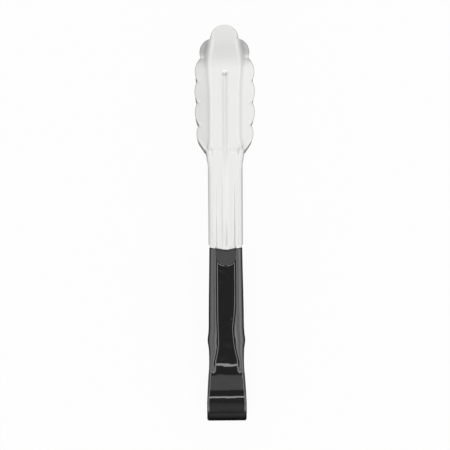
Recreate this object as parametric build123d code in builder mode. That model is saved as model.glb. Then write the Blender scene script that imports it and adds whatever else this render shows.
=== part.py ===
"""Scalloped serving tongs formed from one strip of stainless steel, dipped in vinyl at the handle end.

The strip runs from one scalloped head down its channel arm, round the keyhole bow at the tail and up
the second arm. The bow is the spring: squeezing the arms turns them about its centre. The strip and its
vinyl skin are each divided at the two crest lines of the bow, where an arm meets the part that flexes.

Frame: millimetres, origin at the centre of the bow, X across the arms, +Y towards the heads, +Z up, with
the tongs lying on the bow and the lower head. Each arm is drawn in its own frame: x across, s along the
arm from the bow's centre, n outward.
"""

import os
from dataclasses import dataclass, replace
from math import asin, atan2, cos, degrees, hypot, radians, sin, sqrt, tan

from build123d import *

STEEL = 1.2
COAT = 0.7
REACH = 227.8
OPEN_ANGLE = 16.0

BOW_RADIUS = 12.8
BOW_HALF_WIDTH = 11.1
RAMP_ANGLE = 24.0
BEND_RADIUS = 20.0

FLOOR_N = 6.2
RAIL_HEIGHT = 1.5
GRIP_END = 93.4
BOSS_S = 88.1
BOSS_RADIUS = 5.1
BOSS_SUNK = 0.2

STEM_HALF = 9.4
STEM_SPLAY = 1.1
STEM_DEPTH = 6.8
HANDLE_DEPTH = 5.5
FLANGE_RUN = 0.07
SHOULDER_RADIUS = 2.0
RECESS_HALF = 5.7
RECESS_WALL = 0.8
CHEEK_BEVEL = 0.8
GROOVE_HALF = 3.0
GROOVE_DEPTH = 0.45
TRACE = 0.03

HEAD_PANEL_HALF = 9.4
HEAD_EDGE_HALF = 19.5
HEAD_SLOPE = 42.0
TIP_RADIUS = 8.25
TIP_CURL_LENGTH = 27.0
TIP_DROP = 8.0

RAIL_N = FLOOR_N + RAIL_HEIGHT
RAMP = radians(RAMP_ANGLE)
BEND_DROP = BEND_RADIUS * (1 - cos(RAMP))
BEND_END = (
    (BEND_RADIUS + BOW_RADIUS) * sin(RAMP)
    + (BOW_RADIUS * cos(RAMP) - FLOOR_N - BEND_DROP) / tan(RAMP)
)
BEND_START = BEND_END - BEND_RADIUS * sin(RAMP)
CURL_START = REACH - TIP_CURL_LENGTH
LOWER_PITCH = degrees(asin((BOW_RADIUS + COAT) / hypot(CURL_START, RAIL_N)) - atan2(RAIL_N, CURL_START))
STEM_END = REACH - 82.4
HEAD_START = REACH - 65.0


@dataclass(frozen=True)
class Station:
    """One cross-section of the channel arm.

    top is the height of the shoulders and floor the height of the web between them; corner is where the
    shoulder and flange lines would cross, edge and depth where the flange ends, recess the half-width of
    the sunk web and groove the depth of the crease down its middle.
    """

    s: float
    top: float
    floor: float
    corner: float
    radius: float
    edge: float
    depth: float
    recess: float
    groove: float = 0.0


def handle_station(s, half, recess, depth=HANDLE_DEPTH):
    """A section of the gripped part, whose web lies a rail's height below the shoulders."""
    return Station(s, RAIL_N, FLOOR_N, half - FLANGE_RUN * depth, SHOULDER_RADIUS, half, depth, recess)


def stem_station(s, sunk, splay):
    """A section of the bare stem, whose flanges lean outward and whose web rises to the shoulders."""
    edge = STEM_HALF + splay
    floor = RAIL_N - sunk
    return Station(s, RAIL_N, floor, STEM_HALF, SHOULDER_RADIUS, edge, STEM_DEPTH, RECESS_HALF, 0.35)


def head_station(s, panel, edge, slope=HEAD_SLOPE, radius=3.0, groove=GROOVE_DEPTH):
    """A section of the head, a flat panel between two sloping flanks; the end of it curls inward."""
    run = max(0.0, s - CURL_START)
    curl = (TIP_CURL_LENGTH**2 + TIP_DROP**2) / (2 * TIP_DROP)
    top = RAIL_N - (curl - sqrt(curl**2 - run**2))
    depth = (edge - panel) * tan(radians(slope))
    return Station(s, top, top, panel, radius, edge, depth, RECESS_HALF, groove)


HANDLE = [
    handle_station(BEND_END, 9.7, 7.5, 3.2),
    handle_station(BEND_END + 4.0, 9.9, 7.0, 4.0),
    handle_station(BEND_END + 12.0, 10.9, RECESS_HALF),
    handle_station(BEND_END + 26.0, 10.3, RECESS_HALF),
    handle_station(GRIP_END - 8.0, 9.4, RECESS_HALF),
]
GRIP_TOP = replace(HANDLE[-1], s=GRIP_END, floor=FLOOR_N + 0.3, edge=9.3, corner=9.3 - FLANGE_RUN * HANDLE_DEPTH)
STEM = [
    stem_station(GRIP_END + 1.6, 1.1, STEM_SPLAY),
    stem_station(STEM_END - 8.0, 0.0, STEM_SPLAY),
]
HEAD = [
    head_station(STEM_END + 1.0, HEAD_PANEL_HALF, 11.6, 72.0, 2.4),
    head_station(STEM_END + 6.0, HEAD_PANEL_HALF, 13.8, 57.0, 2.6),
    head_station(STEM_END + 12.0, HEAD_PANEL_HALF, 17.4, 43.0),
    head_station(HEAD_START, HEAD_PANEL_HALF, HEAD_EDGE_HALF),
    head_station(REACH - 29.0, HEAD_PANEL_HALF + 0.9, HEAD_EDGE_HALF),
    head_station(REACH - 24.0, HEAD_PANEL_HALF + 1.2, HEAD_EDGE_HALF, groove=0.0),
    head_station(REACH - 18.0, HEAD_PANEL_HALF + 1.0, HEAD_EDGE_HALF - 1.0, groove=0.0),
    head_station(REACH - 12.0, HEAD_PANEL_HALF, HEAD_EDGE_HALF - 3.0, groove=0.0),
    head_station(REACH - 6.0, HEAD_PANEL_HALF - 0.7, HEAD_EDGE_HALF - 5.0, groove=0.0),
    head_station(REACH, HEAD_PANEL_HALF - 1.4, HEAD_EDGE_HALF - 6.5, groove=0.0),
]


def arm_frame(pitch, upper):
    """The frame of one arm: x across, y along the arm, z outward, origin on the bow's centre."""
    a = radians(pitch)
    if upper:
        return Plane((0, 0, 0), x_dir=(1, 0, 0), z_dir=(0, -sin(a), cos(a)))
    return Plane((0, 0, 0), x_dir=(-1, 0, 0), z_dir=(0, -sin(a), -cos(a)))


def cross_plane(frame, s):
    """The plane across an arm at s, with x across the arm and y outward."""
    return Plane(frame.from_local_coords((0, s, 0)), x_dir=frame.x_dir, z_dir=-frame.y_dir)


def side_plane(frame):
    """The arm's middle plane, with x along the arm and y outward."""
    return Plane(frame.origin, x_dir=frame.y_dir, z_dir=frame.x_dir)


def shoulder(corner, top, lean, radius):
    """Start, middle and end of the arc between a level line and a flange that leans at lean radians."""
    reach = radius * tan(lean / 2)
    start = (corner - reach, top)
    half = (corner - reach + radius * sin(lean / 2), top - radius * (1 - cos(lean / 2)))
    end = (corner - reach + radius * sin(lean), top - radius * (1 - cos(lean)))
    return start, half, end


def channel_face(frame, station, outer, inner, grow=0.0):
    """Draws one section of the channel, between offsets outer and inner from its outside face."""
    lean = atan2(station.depth, station.edge - station.corner)
    sunk = max(station.top - station.floor, TRACE)
    groove = max(station.groove, TRACE)
    web_floor = station.top - sunk
    wall = tan(atan2(sunk, RECESS_WALL) / 2)
    along = (cos(lean), -sin(lean))
    normal = (sin(lean), cos(lean))

    def flange_end(offset):
        return (
            station.edge + offset * normal[0] + grow * along[0],
            station.top - station.depth + offset * normal[1] + grow * along[1],
        )

    shift = outer * tan(lean / 2)
    start, half, end = shoulder(station.corner + shift, station.top + outer, lean, station.radius + outer)
    floor = web_floor + outer
    crease = floor - groove
    web = [
        start,
        (station.recess - outer * wall, station.top + outer),
        (station.recess - RECESS_WALL - outer * wall, floor),
        (GROOVE_HALF, floor),
        (0, crease),
    ]
    low = web_floor + inner
    corner = station.corner + inner * tan(lean / 2)
    rail = min(station.recess - inner * wall, corner - 0.3)
    bend = min(max(station.radius + inner, 0.3), (corner - rail) / tan(lean / 2))
    in_start, _, in_end = shoulder(corner, station.top + inner, lean, bend)
    lining = [
        in_end,
        in_start,
        (rail - RECESS_WALL, low),
        (GROOVE_HALF, low),
        (0, low - groove),
    ]

    def flip(point):
        return (-point[0], point[1])

    mirrored = [flip(p) for p in reversed(web)]
    with BuildSketch(cross_plane(frame, station.s)) as section:
        with BuildLine():
            Line(flange_end(outer), end)
            ThreePointArc(end, half, start)
            Polyline(web + mirrored[1:])
            ThreePointArc(flip(start), flip(half), flip(end))
            Line(flip(end), flip(flange_end(outer)))
            Line(flip(flange_end(outer)), flip(flange_end(inner)))
            Line(flip(flange_end(inner)), flip(in_end))
            Polyline([flip(p) for p in lining] + lining[-2::-1])
            Line(in_end, flange_end(inner))
            Line(flange_end(inner), flange_end(outer))
        make_face()
    return section.sketch


def cheek_face(frame, station, side, outer, inner):
    """Draws the rail and flange on one side of the channel, where they die out into the strap."""
    half = station.edge + outer
    base = station.top - station.depth
    with BuildSketch(cross_plane(frame, station.s)) as cheek:
        with BuildLine():
            Polyline(
                (side * half, base),
                (side * half, station.top + outer - CHEEK_BEVEL),
                (side * (half - CHEEK_BEVEL), station.top + outer),
                (side * (station.recess - outer), station.top + outer),
                (side * (station.recess - RECESS_WALL - outer), station.floor + outer),
                (side * (station.recess - RECESS_WALL - outer), station.floor + inner),
                (side * (station.edge + inner), base),
                close=True,
            )
        make_face()
    return cheek.sketch


def strap_profile(frame, outer, inner):
    """Draws the side profile of the strap: bow crest, ramp and the bend into the arm."""

    def points(offset):
        radius = BOW_RADIUS + offset
        bend = BEND_RADIUS - offset
        centre = (BEND_END, FLOOR_N + BEND_RADIUS)
        crest = (0, radius)
        mid = (radius * sin(RAMP / 2), radius * cos(RAMP / 2))
        leave = (radius * sin(RAMP), radius * cos(RAMP))
        meet = (centre[0] - bend * sin(RAMP), centre[1] - bend * cos(RAMP))
        turn = (centre[0] - bend * sin(RAMP / 2), centre[1] - bend * cos(RAMP / 2))
        flat = (BEND_END, FLOOR_N + offset)
        return crest, mid, leave, meet, turn, flat

    out, low = points(outer), points(inner)
    with BuildSketch(side_plane(frame)) as profile:
        with BuildLine():
            ThreePointArc(out[0], out[1], out[2])
            Line(out[2], out[3])
            ThreePointArc(out[3], out[4], out[5])
            Line(out[5], low[5])
            ThreePointArc(low[5], low[4], low[3])
            Line(low[3], low[2])
            ThreePointArc(low[2], low[1], low[0])
            Line(low[0], out[0])
        make_face()
    return profile.sketch


def strap_outline(frame, grow):
    """Draws the strap from above, waisted where it meets the channel."""
    tail = BOW_HALF_WIDTH + grow
    waist = HANDLE[0].edge + grow
    mid = (waist + tail) / 2 - 0.25
    with BuildSketch(frame) as outline:
        with BuildLine():
            ThreePointArc((tail, -1), (mid, BEND_START * 0.75), (waist, BEND_END))
            Line((waist, BEND_END), (-waist, BEND_END))
            ThreePointArc((-waist, BEND_END), (-mid, BEND_START * 0.75), (-tail, -1))
            Line((-tail, -1), (tail, -1))
        make_face()
    return outline.sketch


def head_outline(frame):
    """Draws the arm from above, trimming only the head: a round tip and five lobes on each side."""
    lobes = [
        ((15.9, 70.2), (17.1, 65.2), (15.6, 60.1)),
        ((15.6, 60.1), (18.0, 53.6), (16.5, 46.6)),
        ((16.5, 46.6), (18.1, 40.0), (16.5, 33.6)),
        ((16.5, 33.6), (17.8, 27.6), (14.3, 19.8)),
        ((14.3, 19.8), (14.3, 13.4), (TIP_RADIUS + 0.2, TIP_RADIUS)),
    ]

    def at(point, side):
        return (side * point[0], REACH - point[1])

    wide = STEM_HALF + STEM_SPLAY + 0.6
    with BuildSketch(frame) as outline:
        with BuildLine():
            Line((-wide, -2 * BOW_RADIUS), (wide, -2 * BOW_RADIUS))
            for side in (1, -1):
                Line((side * wide, -2 * BOW_RADIUS), (side * wide, STEM_END + 3.0))
                Line((side * wide, STEM_END + 3.0), at(lobes[0][0], side))
                for start, through, end in lobes:
                    ThreePointArc(at(start, side), at(through, side), at(end, side))
            right, left = at(lobes[-1][2], 1), at(lobes[-1][2], -1)
            ThreePointArc(right, (0, REACH), left)
        make_face()
    return outline.sketch


def formed_strip(frame, outer, inner, grow, stations):
    """Builds the strip from the bow's crest through every station, between two offsets from its face."""
    extrude(strap_profile(frame, outer, inner), amount=BOW_HALF_WIDTH + 3, both=True)
    extrude(strap_outline(frame, grow), amount=2 * BOW_RADIUS, both=True, mode=Mode.INTERSECT)
    for side in (1, -1):
        first = HANDLE[0]
        rise = BOW_RADIUS * cos(RAMP) - (BEND_START - BOW_RADIUS * sin(RAMP)) * tan(RAMP)
        last = replace(first, s=BEND_START + 0.5, floor=rise - 0.4, depth=rise - FLOOR_N + 0.2)
        loft([cheek_face(frame, station, side, outer, inner) for station in (first, last)], ruled=True)
    loft([channel_face(frame, station, outer, inner, grow) for station in stations], ruled=True)


def make_arm(frame):
    """One steel arm: strap, channel handle, stem and scalloped head."""
    with BuildPart() as arm:
        formed_strip(frame, 0.0, -STEEL, 0.0, HANDLE + [GRIP_TOP] + STEM + HEAD)
        extrude(head_outline(frame), amount=4 * BOW_RADIUS, both=True, mode=Mode.INTERSECT)
    return arm


def make_grip(frame, arm):
    """The vinyl skin over one arm, inside and out, with the round boss at the top of its recess."""
    with BuildPart() as grip:
        formed_strip(frame, COAT, -STEEL - COAT, COAT, HANDLE + [GRIP_TOP])
        boss_top = RAIL_N + COAT - BOSS_SUNK
        with BuildSketch(Plane(frame.from_local_coords((0, BOSS_S, FLOOR_N)), frame.x_dir, frame.z_dir)):
            Circle(BOSS_RADIUS)
        extrude(amount=boss_top - FLOOR_N)
        add(arm.part, mode=Mode.SUBTRACT)
    return grip


UPPER = arm_frame(OPEN_ANGLE - LOWER_PITCH, True)
LOWER = arm_frame(LOWER_PITCH, False)

upper_arm = make_arm(UPPER)
upper_arm.part.label = "upper_arm"

lower_arm = make_arm(LOWER)
lower_arm.part.label = "lower_arm"

upper_grip = make_grip(UPPER, upper_arm)
upper_grip.part.label = "upper_grip"

lower_grip = make_grip(LOWER, lower_arm)
lower_grip.part.label = "lower_grip"

BOW_START = 90.0 + OPEN_ANGLE - LOWER_PITCH
BOW_SWEEP = 180.0 - OPEN_ANGLE


def bow_sector(outside, inside):
    """Draws the ring sector between the two crest lines, on the tail side."""
    first, last = radians(BOW_START), radians(BOW_START + BOW_SWEEP)
    middle = (first + last) / 2

    def polar(radius, angle):
        return (radius * cos(angle), radius * sin(angle))

    with BuildSketch(Plane.YZ) as sector:
        with BuildLine():
            ThreePointArc(polar(outside, first), polar(outside, middle), polar(outside, last))
            Line(polar(outside, last), polar(inside, last))
            ThreePointArc(polar(inside, last), polar(inside, middle), polar(inside, first))
            Line(polar(inside, first), polar(outside, first))
        make_face()
    return sector.sketch


with BuildPart() as spring_bow:
    extrude(bow_sector(BOW_RADIUS, BOW_RADIUS - STEEL), amount=BOW_HALF_WIDTH, both=True)
spring_bow.part.label = "spring_bow"

with BuildPart() as bow_sleeve:
    skin = bow_sector(BOW_RADIUS + COAT, BOW_RADIUS - STEEL - COAT)
    extrude(skin, amount=BOW_HALF_WIDTH + COAT, both=True)
    add(spring_bow.part, mode=Mode.SUBTRACT)
bow_sleeve.part.label = "bow_sleeve"

os.makedirs("parts", exist_ok=True)
export_step(upper_arm.part, "parts/upper_arm.step")
export_step(lower_arm.part, "parts/lower_arm.step")
export_step(upper_grip.part, "parts/upper_grip.step")
export_step(lower_grip.part, "parts/lower_grip.step")
export_step(spring_bow.part, "parts/spring_bow.step")
export_step(bow_sleeve.part, "parts/bow_sleeve.step")
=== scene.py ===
"""Scalloped one-piece serving tongs: satin steel arms, dipped black vinyl over the handles and the bow.

Lengths are in millimetres until a vertex is placed. Each arm is drawn in its own frame (x across, s along the
arm from the bow's centre, n outward) and then laid into the shared frame.
"""

import logging
import math
from dataclasses import dataclass, replace
from enum import Enum
from typing import Any, Callable, Sequence

import bmesh
import bpy
from mathutils import Matrix, Vector


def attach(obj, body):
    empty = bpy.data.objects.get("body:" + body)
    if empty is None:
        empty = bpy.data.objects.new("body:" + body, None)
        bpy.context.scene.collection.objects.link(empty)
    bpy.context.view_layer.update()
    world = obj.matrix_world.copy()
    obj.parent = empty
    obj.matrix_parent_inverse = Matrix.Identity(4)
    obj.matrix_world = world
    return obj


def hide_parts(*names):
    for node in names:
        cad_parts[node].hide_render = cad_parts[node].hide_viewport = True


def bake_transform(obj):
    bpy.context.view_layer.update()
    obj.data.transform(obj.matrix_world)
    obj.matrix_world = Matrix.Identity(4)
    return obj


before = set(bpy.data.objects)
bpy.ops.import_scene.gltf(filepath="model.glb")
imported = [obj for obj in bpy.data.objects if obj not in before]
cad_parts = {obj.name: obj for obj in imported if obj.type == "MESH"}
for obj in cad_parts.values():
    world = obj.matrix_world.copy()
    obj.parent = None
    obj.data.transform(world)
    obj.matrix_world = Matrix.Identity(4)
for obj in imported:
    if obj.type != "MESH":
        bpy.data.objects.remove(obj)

LOG = logging.getLogger("tongs")
MM = 0.001
STRIP_ATTRIBUTE = "strip"
# Vertex attribute that carries painted shade on the steel: the head's outline and the drawn lines.
SHADE_ATTRIBUTE = "rim"
MERGE_DISTANCE = 0.5e-6
LIP_LIMIT = 0.5
WHITE = (1.0, 1.0, 1.0, 1.0)
WHOLE = (0.0, 1.0)

Point = tuple[float, float]
GridPoint = tuple[float, float, float, float]
Colour = tuple[float, float, float, float]


def smooth(t: float) -> float:
    """Eases a value from 0 to 1.

    Args:
        t: Any number; it is held between 0 and 1.
    Returns:
        The eased value.
    """
    t = min(max(t, 0.0), 1.0)
    return t * t * (3.0 - 2.0 * t)


def bell(t: float) -> float:
    """A rounded hump, 1 at 0 and falling away on both sides."""
    return math.exp(-t * t)


def towards(a: float, b: float, share: float) -> float:
    """The value part of the way from a to b."""
    return a + (b - a) * share


def between(a: Point, b: Point, share: float) -> Point:
    """The point part of the way from a to b."""
    return towards(a[0], b[0], share), towards(a[1], b[1], share)


def lip_turn(inset: float, radius: float) -> float:
    """How far a rounding has already turned, in radians, at a lip that cuts into it by inset."""
    return math.asin(min(max(inset / radius, 0.0), LIP_LIMIT))


def spread(start: float, end: float, count: int, eased: bool = False) -> list[float]:
    """Places values from start up to, but not including, end.

    Args:
        start: First value.
        end: Value that the next stretch starts from.
        count: Number of values.
        eased: True to crowd the values towards both ends.
    Returns:
        The values in order.
    """
    steps = [i / count for i in range(count)]
    if eased:
        steps = [(1.0 - math.cos(math.pi * t)) / 2.0 for t in steps]
    return [towards(start, end, t) for t in steps]


def circle_through(a: Point, b: Point, c: Point) -> tuple[Point, float]:
    """Finds the circle through three points.

    Args:
        a: First point.
        b: Second point.
        c: Third point.
    Returns:
        The circle's centre and radius.
    """
    d = 2 * (a[0] * (b[1] - c[1]) + b[0] * (c[1] - a[1]) + c[0] * (a[1] - b[1]))
    squares = [p[0] ** 2 + p[1] ** 2 for p in (a, b, c)]
    x = (squares[0] * (b[1] - c[1]) + squares[1] * (c[1] - a[1]) + squares[2] * (a[1] - b[1])) / d
    y = (squares[0] * (c[0] - b[0]) + squares[1] * (a[0] - c[0]) + squares[2] * (b[0] - a[0])) / d
    return (x, y), math.dist((x, y), a)


class Track:
    """A size that changes along the arm, read smoothly and without overshoot between its knots."""

    def __init__(self, knots: Sequence[Point]) -> None:
        """Works out a slope for each knot.

        Args:
            knots: Pairs of place along the arm and value, in order.
        """
        self.places = [k[0] for k in knots]
        self.values = [k[1] for k in knots]
        rises = [(b[1] - a[1]) / (b[0] - a[0]) for a, b in zip(knots, knots[1:])]
        inner = [2.0 * p * q / (p + q) if p * q > 0 else 0.0 for p, q in zip(rises, rises[1:])]
        self.slopes = [rises[0], *inner, rises[-1]]

    def at(self, s: float) -> float:
        """Reads the size at one place.

        Args:
            s: Place along the arm.
        Returns:
            The size there; it stays level beyond the first and last knots.
        """
        if s <= self.places[0]:
            return self.values[0]
        if s >= self.places[-1]:
            return self.values[-1]
        i = next(k for k in range(len(self.places) - 1) if s <= self.places[k + 1])
        width = self.places[i + 1] - self.places[i]
        t = (s - self.places[i]) / width
        return (
            self.values[i] * (1 + 2 * t) * (1 - t) ** 2
            + self.slopes[i] * width * t * (1 - t) ** 2
            + self.values[i + 1] * t * t * (3 - 2 * t)
            + self.slopes[i + 1] * width * t * t * (t - 1)
        )


@dataclass(frozen=True)
class Tongs:
    """Driving sizes of the tongs, in millimetres and degrees."""

    steel: float = 1.2
    coat: float = 0.7
    reach: float = 227.8
    open_angle: float = 16.0
    bow_radius: float = 12.8
    bow_half: float = 11.1
    crest_flat: float = 2.0
    crest_radius: float = 14.0
    ramp_angle: float = 26.0
    bend_radius: float = 22.0
    floor_n: float = 6.2
    rail_height: float = 1.5
    grip_end: float = 93.4
    boss_s: float = 89.4
    boss_radius: float = 6.4
    boss_sunk: float = 0.2
    recess_wall: float = 0.8
    groove_half: float = 1.9
    neck_back: float = 82.4
    head_back: float = 65.0
    curl_length: float = 27.0
    tip_drop: float = 8.0

    @property
    def rail_n(self) -> float:
        """Height of the shoulders above the bow's centre line."""
        return self.floor_n + self.rail_height

    @property
    def ramp(self) -> float:
        """Slope of the ramp up to the bow, in radians."""
        return math.radians(self.ramp_angle)

    @property
    def bend_end(self) -> float:
        """Where the bend at the foot of the ramp has become level.

        Returns:
            The place along the arm.
        """
        radii = self.crest_radius + self.bend_radius
        lift = self.bow_radius - self.floor_n - radii * (1 - math.cos(self.ramp))
        return self.crest_flat + radii * math.sin(self.ramp) + lift / math.tan(self.ramp)

    @property
    def bend_start(self) -> float:
        """Where the ramp runs into the bend."""
        return self.bend_end - self.bend_radius * math.sin(self.ramp)

    @property
    def curl_start(self) -> float:
        """Where the tip of the head starts to curl inward."""
        return self.reach - self.curl_length

    @property
    def stem_end(self) -> float:
        """Where the stem starts to widen into the head."""
        return self.reach - self.neck_back

    @property
    def lower_pitch(self) -> float:
        """Angle of the lower arm below the level, in radians, with bow and head on the table."""
        rest = math.asin(-self.table / math.hypot(self.curl_start, self.rail_n))
        return rest - math.atan2(self.rail_n, self.curl_start)

    @property
    def upper_pitch(self) -> float:
        """Angle of the upper arm above the level, in radians."""
        return math.radians(self.open_angle) - self.lower_pitch

    @property
    def table(self) -> float:
        """Height of the table the tongs lie on."""
        return -(self.bow_radius + self.coat)


class Side(Enum):
    """The two arms, named as they lie on the table."""

    UPPER = "upper"
    LOWER = "lower"

    @property
    def body(self) -> str:
        """Name of the moving body this arm belongs to."""
        return f"{self.value}_arm"

    def place(self, tongs: Tongs, x: float, s: float, n: float) -> Vector:
        """Lays a point of this arm into the shared frame.

        Args:
            tongs: Sizes of the tongs.
            x: Distance across the arm.
            s: Distance along it.
            n: Distance outward.
        Returns:
            The point, in metres.
        """
        upper = self is Side.UPPER
        pitch = tongs.upper_pitch if upper else tongs.lower_pitch
        flip = 1.0 if upper else -1.0
        c, k = math.cos(pitch), math.sin(pitch)
        return Vector((flip * x, s * c - n * k, flip * (s * k + n * c))) * MM


@dataclass(frozen=True)
class Section:
    """The arm's cross-section at one place.

    top and floor are the heights of the shoulders and of the web between them; the shoulder and flange lines
    would cross at corner; the flange leans at lean radians and ends at edge; slope is how steeply the strip
    climbs along the arm here, in radians.
    """

    s: float
    top: float
    floor: float
    corner: float
    radius: float
    edge: float
    lean: float
    depth: float
    recess: float
    groove: float
    slope: float

    @property
    def arc_start(self) -> float:
        """Where the shoulder's rounding begins."""
        return self.corner - self.radius * math.tan(self.lean / 2)

    @property
    def arc_end(self) -> float:
        """Where the shoulder's rounding runs into the flange."""
        return self.arc_start + self.radius * math.sin(self.lean)

    @property
    def lip_turn(self) -> float:
        """How far the rounding has already turned at the lip of the recess, in radians."""
        return lip_turn(self.recess - self.arc_start, self.radius)


class ArmShape:
    """The shape of one arm, from the bow's crest to the tip of the head.

    A lobe of the head is an arc through three points, each a half-width and a distance back from the tip.
    """

    LOBES = (
        ((15.9, 70.2), (17.1, 65.2), (15.6, 60.1)),
        ((15.6, 60.1), (18.0, 53.6), (16.5, 46.6)),
        ((16.5, 46.6), (18.1, 40.0), (16.5, 33.6)),
        ((16.5, 33.6), (17.8, 27.6), (14.3, 19.8)),
        ((14.3, 19.8), (14.3, 13.4), (8.45, 8.25)),
    )
    TAPER_START = (12.0, 75.6)
    HANDLE_FLANGE = 0.4
    UNCUT = 99.0

    def __init__(self, tongs: Tongs) -> None:
        """Sets out how each size runs along the arm.

        Args:
            tongs: Sizes of the tongs.
        """
        self.tongs = tongs
        bend, grip, stem, tip = tongs.bend_end, tongs.grip_end, tongs.stem_end, tongs.reach
        head, bare, ramp_foot = tip - tongs.head_back, grip + 1.6, tongs.bend_start
        handle = [
            (0, 10.9), (8, 10.5), (ramp_foot, 10.1), (bend, 9.5), (bend + 6, 9.6), (bend + 13, 10.35),
            (bend + 17, 9.9), (bend + 21, 9.65), (bend + 31, 9.55), (grip - 8, 9.0), (grip, 8.9),
        ]
        self.corner = Track([
            *handle, (bare, 9.4), (stem - 6, 9.4), (stem + 3, 10.5), (stem + 7, 10.5), (stem + 15, 9.5),
            (head + 22, 9.5), (tip - 29, 10.3), (tip - 24, 10.6), (tip - 18, 10.4), (tip - 12, 9.4),
            (tip - 6, 8.7), (tip, 8.0),
        ])
        self.edge = Track([
            *((s, half + self.HANDLE_FLANGE) for s, half in handle), (bare, 10.5), (stem - 3, 10.5),
            (stem + 3, 11.2), (stem + 6.6, 11.9), (stem + 8.6, 15.6), (stem + 12, 17.6), (head, 19.5),
            (tip - 24, 19.5), (tip - 18, 18.5), (tip - 12, 16.5), (tip - 6, 14.5), (tip, 13.0),
        ])
        self.depth = Track([
            (0, 2.8), (ramp_foot, 2.8), (bend, 3.2), (bend + 4, 4.0), (bend + 12, 5.5), (grip, 5.5),
            (bare, 6.8), (stem + 6, 6.8), (stem + 12, 7.5), (head, 9.1), (head + 22, 8.9), (tip - 29, 8.3),
            (tip - 24, 8.0), (tip - 18, 7.3), (tip - 12, 6.4), (tip - 6, 5.2), (tip, 4.5),
        ])
        self.radius = Track([
            (0, 1.3), (bend, 1.9), (bend + 4, 3.0), (bend + 12, 4.6), (bend + 26, 4.5), (grip - 8, 3.5),
            (grip, 3.4), (bare, 1.3), (stem - 8, 1.3), (stem + 6, 1.6), (stem + 14, 4.0), (head, 5.2),
            (tip - 26, 6.0), (tip - 18, 9.0), (tip - 12, 9.0), (tip - 6, 7.0), (tip, 6.0),
        ])
        self.recess = Track([
            (0, 8.0), (bend, 8.0), (bend + 4, 7.2), (bend + 12, 6.1), (bend + 30, 6.5), (grip, 6.5),
            (bare, 5.7), (tip, 5.7),
        ])
        self.sunk = Track([(0, 1.5), (grip - 8, 1.5), (grip, 1.2), (bare, 1.1), (stem - 8, 0.0)])
        self.groove = Track([
            (grip, 0.0), (bare, 0.4), (stem - 8, 0.3), (stem + 12, 0.55), (tip - 30, 0.55), (tip - 27, 0.0),
        ])

    def strap_height(self, s: float) -> float:
        """Height of the strap's outside: crest of the bow, ramp, bend, then level.

        Args:
            s: Place along the arm.
        Returns:
            The height at s.
        """
        t = self.tongs
        if s >= t.bend_end:
            return t.floor_n
        if s >= t.bend_start:
            back = t.bend_end - s
            return t.floor_n + t.bend_radius - math.sqrt(t.bend_radius**2 - back**2)
        leave = t.crest_radius * math.sin(t.ramp)
        past = max(s - t.crest_flat, 0.0)
        if past >= leave:
            fall = t.crest_radius * (1 - math.cos(t.ramp))
            return t.bow_radius - fall - (past - leave) * math.tan(t.ramp)
        return t.bow_radius - t.crest_radius + math.sqrt(t.crest_radius**2 - past * past)

    def slope(self, s: float) -> float:
        """How steeply the strap climbs towards the bow.

        Args:
            s: Place along the arm.
        Returns:
            The slope in radians.
        """
        t = self.tongs
        if s >= t.bend_end:
            return 0.0
        if s >= t.bend_start:
            return math.asin((t.bend_end - s) / t.bend_radius)
        past = max(s - t.crest_flat, 0.0)
        return min(t.ramp, math.asin(min(1.0, past / t.crest_radius)))

    def formed(self, s: float) -> float:
        """How far the flat strap has become a channel at s: 0 on the strap, 1 on the channel."""
        t = self.tongs
        return smooth((s - t.bend_start) / (t.bend_end - t.bend_start))

    def section(self, s: float) -> Section:
        """Gathers the cross-section at one place.

        Args:
            s: Place along the arm.
        Returns:
            The section.
        """
        t = self.tongs
        if s < t.stem_end:
            top = max(self.strap_height(s), t.rail_n)
            floor = max(top - self.sunk.at(s), self.strap_height(s))
        else:
            run = max(0.0, s - t.curl_start)
            curl = (t.curl_length**2 + t.tip_drop**2) / (2 * t.tip_drop)
            top = t.rail_n - (curl - math.sqrt(curl**2 - run**2))
            floor = top
        corner, edge, depth = self.corner.at(s), self.edge.at(s), self.depth.at(s)
        return Section(
            s, top, floor, corner, self.radius.at(s), edge, math.atan2(depth, edge - corner), depth,
            self.recess.at(s), self.groove.at(s), self.slope(s),
        )

    def half_width(self, s: float) -> float:
        """Half-width of the head's scalloped outline.

        Args:
            s: Place along the arm.
        Returns:
            The half-width; wide on the stem, where the flanges set the width.
        """
        back = self.tongs.reach - s
        first, tip = self.LOBES[0][0], self.LOBES[-1][2]
        half, taper = self.TAPER_START
        if back >= taper:
            return self.UNCUT
        if back > first[1]:
            return towards(half, first[0], (taper - back) / (taper - first[1]))
        if back <= tip[1]:
            r = (tip[0] ** 2 + tip[1] ** 2) / (2 * tip[1])
            return math.sqrt(max(r * r - (r - back) ** 2, 0.0))
        centre, r = circle_through(*next(lobe for lobe in self.LOBES if back >= lobe[2][1]))
        return centre[0] + math.sqrt(max(r * r - (back - centre[1]) ** 2, 0.0))

    def notches(self) -> list[float]:
        """Places along the arm where the taper begins and where lobes meet, from the stem to the tip."""
        backs = [self.TAPER_START[1], *(lobe[0][1] for lobe in self.LOBES), self.LOBES[-1][2][1]]
        return [self.tongs.reach - back for back in backs]


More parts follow.
